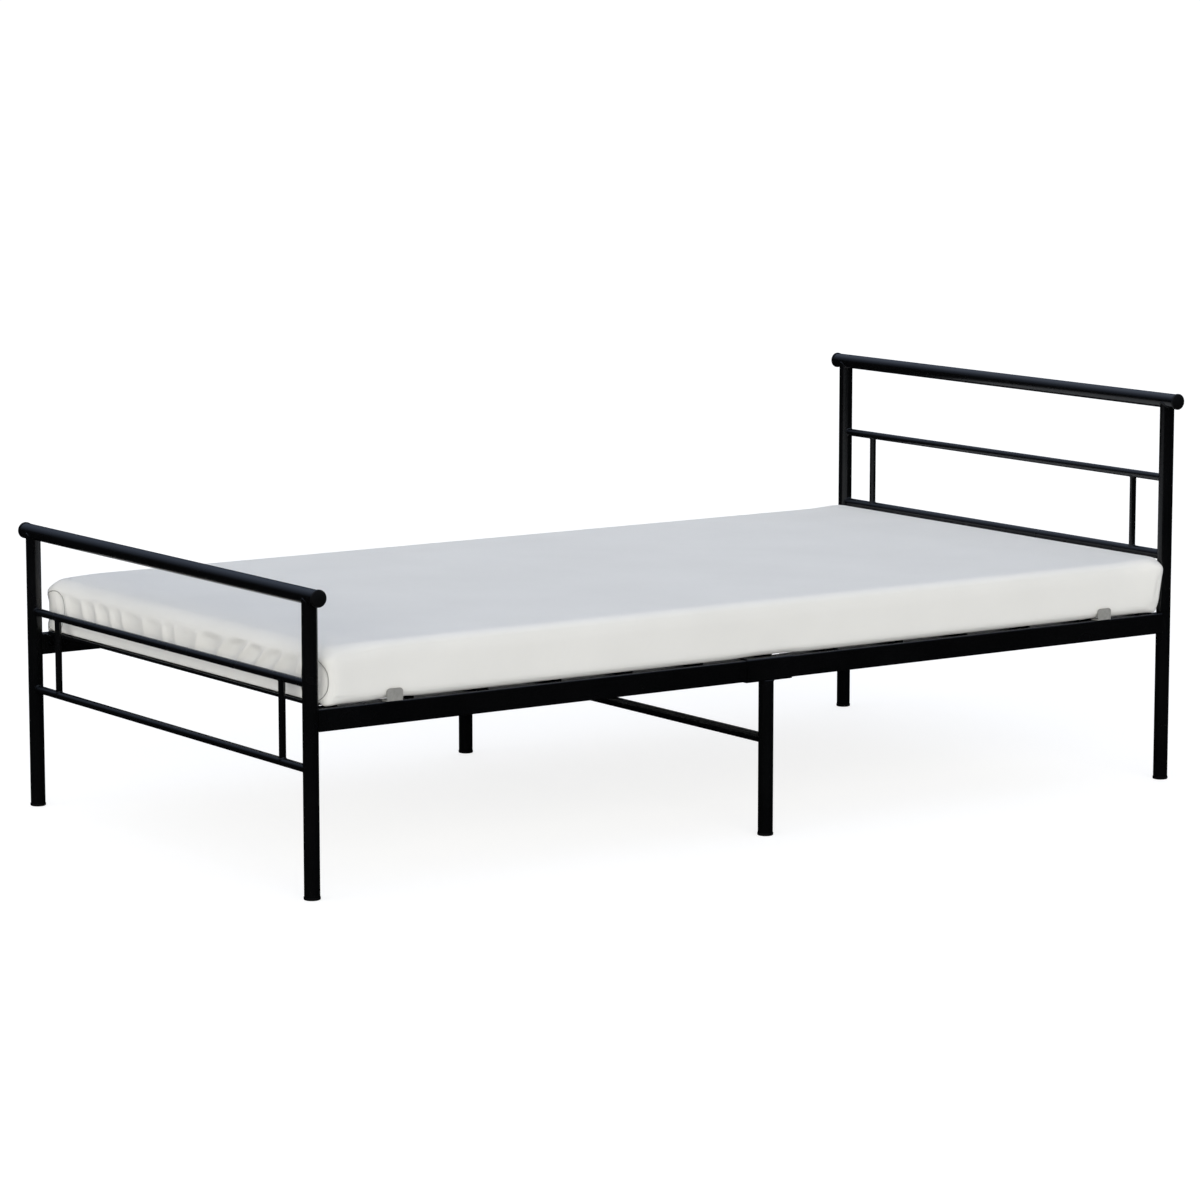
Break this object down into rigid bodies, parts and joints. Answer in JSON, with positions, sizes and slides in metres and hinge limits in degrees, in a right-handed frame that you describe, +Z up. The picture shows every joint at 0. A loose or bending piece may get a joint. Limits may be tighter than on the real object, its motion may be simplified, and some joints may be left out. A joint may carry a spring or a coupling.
{
  "type": "metal bed frame",
  "caption": "Single metal bed: round-tube headboard and footboard, side rails joined over centre legs, steel slats and a thin mattress.",
  "frame": {"origin": "on the floor, under the middle of the bed", "axes": "+Z up; +Y along the bed towards the headboard; +X across the bed, to the right seen from the foot end"},
  "size_m": [1.0842, 1.974, 0.763],
  "materials": {
    "black_powder_coat": "satin",
    "black_plastic": "satin",
    "retainer_grey": "satin",
    "fastener_steel": "satin",
    "mattress_fabric": "matte"
  },
  "bodies": {
    "bed_frame": {"centre_beam": "black_powder_coat", "centre_crossbar": "black_powder_coat", "centre_glide_left": "black_plastic", "centre_glide_right": "black_plastic", "centre_leg_left": "black_powder_coat", "centre_leg_right": "black_powder_coat", "centre_sleeve_left": "black_powder_coat", "centre_sleeve_right": "black_powder_coat", "centre_strut": "black_powder_coat", "foot_glide_left": "black_plastic", "foot_glide_right": "black_plastic", "foot_lower_crossbar": "black_powder_coat", "foot_post_left": "black_powder_coat", "foot_post_right": "black_powder_coat", "foot_rail_cap_left": "black_plastic", "foot_rail_cap_right": "black_plastic", "foot_spindle_left": "black_powder_coat", "foot_spindle_right": "black_powder_coat", "foot_top_rail": "black_powder_coat", "foot_upper_crossbar": "black_powder_coat", "head_glide_left": "black_plastic", "head_glide_right": "black_plastic", "head_lower_crossbar": "black_powder_coat", "head_post_left": "black_powder_coat", "head_post_right": "black_powder_coat", "head_rail_cap_left": "black_plastic", "head_rail_cap_right": "black_plastic", "head_spindle_left": "black_powder_coat", "head_spindle_right": "black_powder_coat", "head_top_rail": "black_powder_coat", "head_upper_crossbar": "black_powder_coat", "rail_bolts": "fastener_steel", "rail_stubs": "black_powder_coat", "retainer_foot_left": "retainer_grey", "retainer_foot_right": "retainer_grey", "retainer_head_left": "retainer_grey", "retainer_head_right": "retainer_grey", "retainer_screws": "fastener_steel", "side_rail_foot_left": "black_powder_coat", "side_rail_foot_right": "black_powder_coat", "side_rail_head_left": "black_powder_coat", "side_rail_head_right": "black_powder_coat", "slat_01": "black_powder_coat", "slat_02": "black_powder_coat", "slat_03": "black_powder_coat", "slat_04": "black_powder_coat", "slat_05": "black_powder_coat", "slat_06": "black_powder_coat", "slat_07": "black_powder_coat", "slat_08": "black_powder_coat", "slat_09": "black_powder_coat", "slat_10": "black_powder_coat", "slat_11": "black_powder_coat", "slat_12": "black_powder_coat", "slat_ledge_foot_left": "black_powder_coat", "slat_ledge_foot_right": "black_powder_coat", "slat_ledge_head_left": "black_powder_coat", "slat_ledge_head_right": "black_powder_coat", "slat_screws": "fastener_steel"},
    "mattress": {"mattress": "mattress_fabric"}
  },
  "joints": [
    {"name": "mattress_lift", "type": "slide", "parent": "bed_frame", "child": "mattress", "axis": [0, 0, 1], "range_m": [0, 0.45]}
  ]
}
